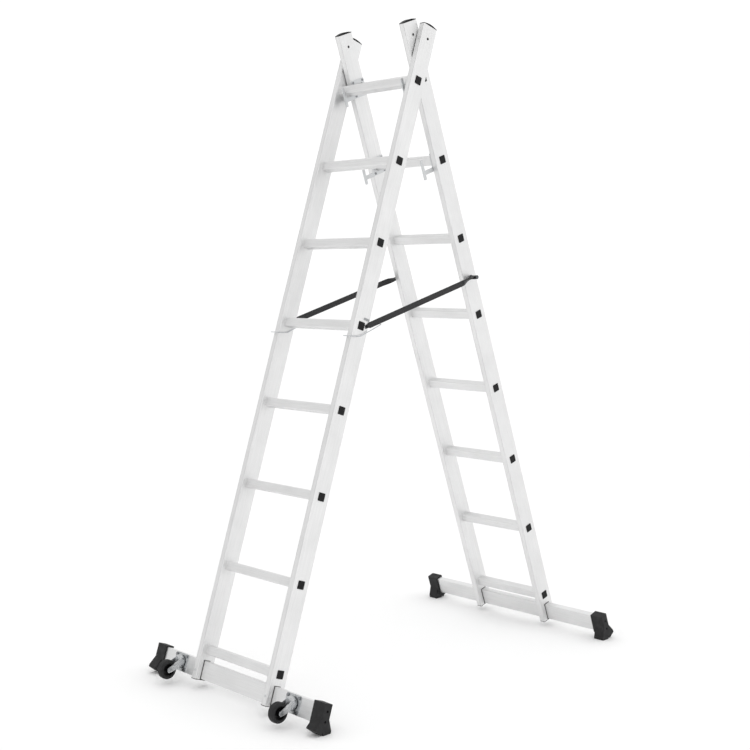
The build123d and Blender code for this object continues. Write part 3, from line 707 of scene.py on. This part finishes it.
    def build_band(self) -> bmesh.types.BMesh:
        """The whole band as one closed skin, with lengthwise coordinates for the weave."""
        mesh = bmesh.new()
        layout = mesh.loops.layers.uv.new("band")
        stations = self.main_run() + self.loop_run() + self.return_run()
        section = self.outline(self.width / 2)
        rows = []
        for s in stations:
            squeeze = self.half_width(s.distance) / (self.width / 2)
            rows.append([mesh.verts.new(s.centre + s.across * (a * squeeze) + s.through * t)
                         for a, t in section])
        count = len(section)
        for i in range(len(rows) - 1):
            for j in range(count):
                k = (j + 1) % count
                face = mesh.faces.new((rows[i][j], rows[i][k], rows[i + 1][k], rows[i + 1][j]))
                corners = ((i, j), (i, k), (i + 1, k), (i + 1, j))
                for loop, (row, column) in zip(face.loops, corners):
                    loop[layout].uv = (stations[row].distance,
                                       section[column][0] + self.width / 2)
        mesh.faces.new(list(reversed(rows[0])))
        mesh.faces.new(rows[-1])
        return mesh

    def add_stitch(self, mesh: bmesh.types.BMesh, at: Station, along: Vector, length: float,
                   lift: float) -> None:
        """One raised stitch of thread.

        Args:
            mesh: The mesh it joins.
            at: Where it lies.
            along: Its direction.
            length: Its length.
            lift: How far it stands from the station's centre.
        """
        radius = self.stitch_radius
        up = at.through * math.copysign(1.0, lift)
        side = along.cross(up).normalized()
        rows = []
        for part, swell in ((-0.5, 0.25), (-0.3, 0.9), (0.0, 1.0), (0.3, 0.9), (0.5, 0.25)):
            middle = at.centre + at.through * lift + along * (length * part)
            rows.append([mesh.verts.new(middle + (side * math.cos(a) + up * math.sin(a))
                                        * radius * swell)
                         for a in (2 * math.pi * k / 6 for k in range(6))])
        for lower, upper in zip(rows, rows[1:]):
            for k in range(6):
                n = (k + 1) % 6
                mesh.faces.new((lower[k], lower[n], upper[n], upper[k])).material_index = 1
        mesh.faces.new(list(reversed(rows[0]))).material_index = 1
        mesh.faces.new(rows[-1]).material_index = 1

    def sew(self, mesh: bmesh.types.BMesh) -> None:
        """Two rows of stitches along the sewn end, and bars across it."""
        first, last = self.length - self.sewn_from + 9 * MM, self.length - self.sewn_to - 3 * MM
        pitch, length = self.stitch_pitch, self.stitch_length
        lift = self.thickness * 1.02
        count = int((last - first) / pitch)
        for i in range(count + 1):
            d = first + pitch * i
            there = self.station(d, 0.0)
            for across in (-0.36, 0.36):
                moved = Station(there.centre + there.across * self.width * across,
                                there.across, there.through, d)
                for face in (-1, 1):
                    self.add_stitch(mesh, moved, self.along, length, face * lift)
        for d in (first, last):
            there = self.station(d, 0.0)
            for i in range(-1, 2):
                moved = Station(there.centre + there.across * pitch * i, there.across,
                                there.through, d)
                for face in (-1, 1):
                    self.add_stitch(mesh, moved, there.across, length, face * lift)

    def build(self) -> None:
        """Make the strap and replace its plain CAD solid."""
        mesh = self.build_band()
        self.sew(mesh)
        piece = new_piece(f"webbing_strap_{self.side}", mesh, (self.webbing, self.thread))
        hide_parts(f"strap_{self.side}")
        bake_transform(piece)
        LOG.info("built %s strap, %.0f mm", self.side, self.length / MM)


@dataclass
class StrapFittings:
    """The rivets, keepers and wire bails at the straps' front ends."""

    rivet: Finish = BLACKENED_STEEL
    wire: Finish = ZincPlatedSteel("bright_spring_wire", "d0d2d4", "b0b3b6", 9.0)
    clip: Finish = MouldedPlastic("grey_clip_plastic", "9a9c9e", "a8aaac")

    def build(self) -> None:
        """Dress them."""
        dress("strap_anchor_rivets", self.rivet)
        dress("strap_keepers", self.clip)
        for side in SIDES:
            dress(f"wire_bail_{side}", self.wire)


# --- Studio ----------------------------------------------------------------------------
@dataclass
class Studio:
    """White paper, soft light and the camera."""

    floor_size: float = 60.0
    key_place: tuple[float, float, float] = (5.0, 1.5, 4.0)
    key_size: float = 3.0
    key_power: float = 8.0
    key_aim: tuple[float, float, float] = (0.0, 0.0, 1.1)
    camera_place: tuple[float, float, float] = (3.2641, -3.1791, 1.4273)
    yaw: float = 139.768            # of the line of sight, from +X towards +Y
    pitch: float = -4.563
    roll: float = -1.300
    lens: float = 63.647
    crop_shift: tuple[float, float] = (0.12, -0.0267)   # the ladder stands off the lens's axis
    dim_side: float = 0.84          # brightness of the surround towards -X -Y
    bright_side: float = 1.06       # and towards +X +Y

    def floor(self) -> None:
        """A wide sheet of white paper."""
        mesh = bmesh.new()
        bmesh.ops.create_grid(mesh, x_segments=4, y_segments=4, size=self.floor_size / 2)
        piece = new_piece("studio_floor", mesh, (StudioPaper("studio_paper"),))

    def sky(self) -> None:
        """A white surround, a little dimmer on one side so that the faces read apart."""
        world = bpy.data.worlds.new("studio_surround")
        world.use_nodes = True
        tree = world.node_tree
        tree.nodes.clear()
        where = add_node(tree, "ShaderNodeTexCoord")
        side = add_node(tree, "ShaderNodeVectorMath", {"operation": "DOT_PRODUCT"})
        tree.links.new(where.outputs["Generated"], side.inputs[0])
        side.inputs[1].default_value = (math.sqrt(0.5), math.sqrt(0.5), 0.0)
        level = add_node(tree, "ShaderNodeMapRange", {"interpolation_type": "SMOOTHSTEP"},
                         Value=side.outputs["Value"], From_Min=-1.0, From_Max=-0.4,
                         To_Min=self.dim_side, To_Max=self.bright_side)
        shade = add_node(tree, "ShaderNodeBackground", Color=(1, 1, 1, 1),
                         Strength=level.outputs[0])
        add_node(tree, "ShaderNodeOutputWorld", Surface=shade.outputs[0])
        bpy.context.scene.world = world

    def softbox(self, name: str, place: tuple[float, float, float], size: float,
                power: float) -> None:
        """A square area light that faces the ladder's middle.

        Args:
            name: The light's name.
            place: Its centre.
            size: Its side, in metres.
            power: Its power, in watts.
        """
        light = bpy.data.lights.new(name, "AREA")
        light.shape, light.size, light.energy = "SQUARE", size, power
        lamp = bpy.data.objects.new(name, light)
        lamp.location = place
        aim = Vector(self.key_aim) - Vector(place)
        lamp.rotation_euler = aim.to_track_quat("-Z", "Y").to_euler()
        bpy.context.collection.objects.link(lamp)

    def camera(self) -> None:
        """A long lens, a little above the ladder's middle and looking slightly down."""
        data = bpy.data.cameras.new("studio_camera")
        data.lens, data.sensor_width = self.lens, 36.0
        data.clip_end = 200.0
        data.shift_x, data.shift_y = self.crop_shift
        yaw, pitch, roll = (math.radians(a) for a in (self.yaw, self.pitch, self.roll))
        sight = Vector((math.cos(yaw) * math.cos(pitch), math.sin(yaw) * math.cos(pitch),
                        math.sin(pitch)))
        level = Vector((math.sin(yaw), -math.cos(yaw), 0.0))
        upright = level.cross(sight)
        right = level * math.cos(roll) + upright * math.sin(roll)
        up = upright * math.cos(roll) - level * math.sin(roll)
        frame_matrix = Matrix((right, up, -sight)).transposed().to_4x4()
        frame_matrix.translation = Vector(self.camera_place)
        eye = bpy.data.objects.new("studio_camera", data)
        eye.matrix_world = frame_matrix
        bpy.context.collection.objects.link(eye)
        bpy.context.scene.camera = eye

    def build(self) -> None:
        """Set the stage."""
        self.floor()
        self.sky()
        self.softbox("key_softbox", self.key_place, self.key_size, self.key_power)
        self.camera()
        bpy.context.scene.view_settings.view_transform = "Standard"


def main() -> None:
    """Build every sub-assembly in order."""
    logging.basicConfig(level=logging.INFO, format="%(message)s")
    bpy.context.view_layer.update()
    LadderSection("front", Grain.FRONT_STILE).build()
    LadderSection("rear", Grain.REAR_STILE).build()
    HookPlates().build()
    for side in SIDES:
        Castor(side).build()
        WebbingStrap(side).build()
    for fastener in ("castor_kingpins", "castor_plate_bolts"):
        dress(fastener, SHADED_RIVET_STEEL)
    StrapFittings().build()
    Studio().build()


if __name__ == "__main__":
    main()
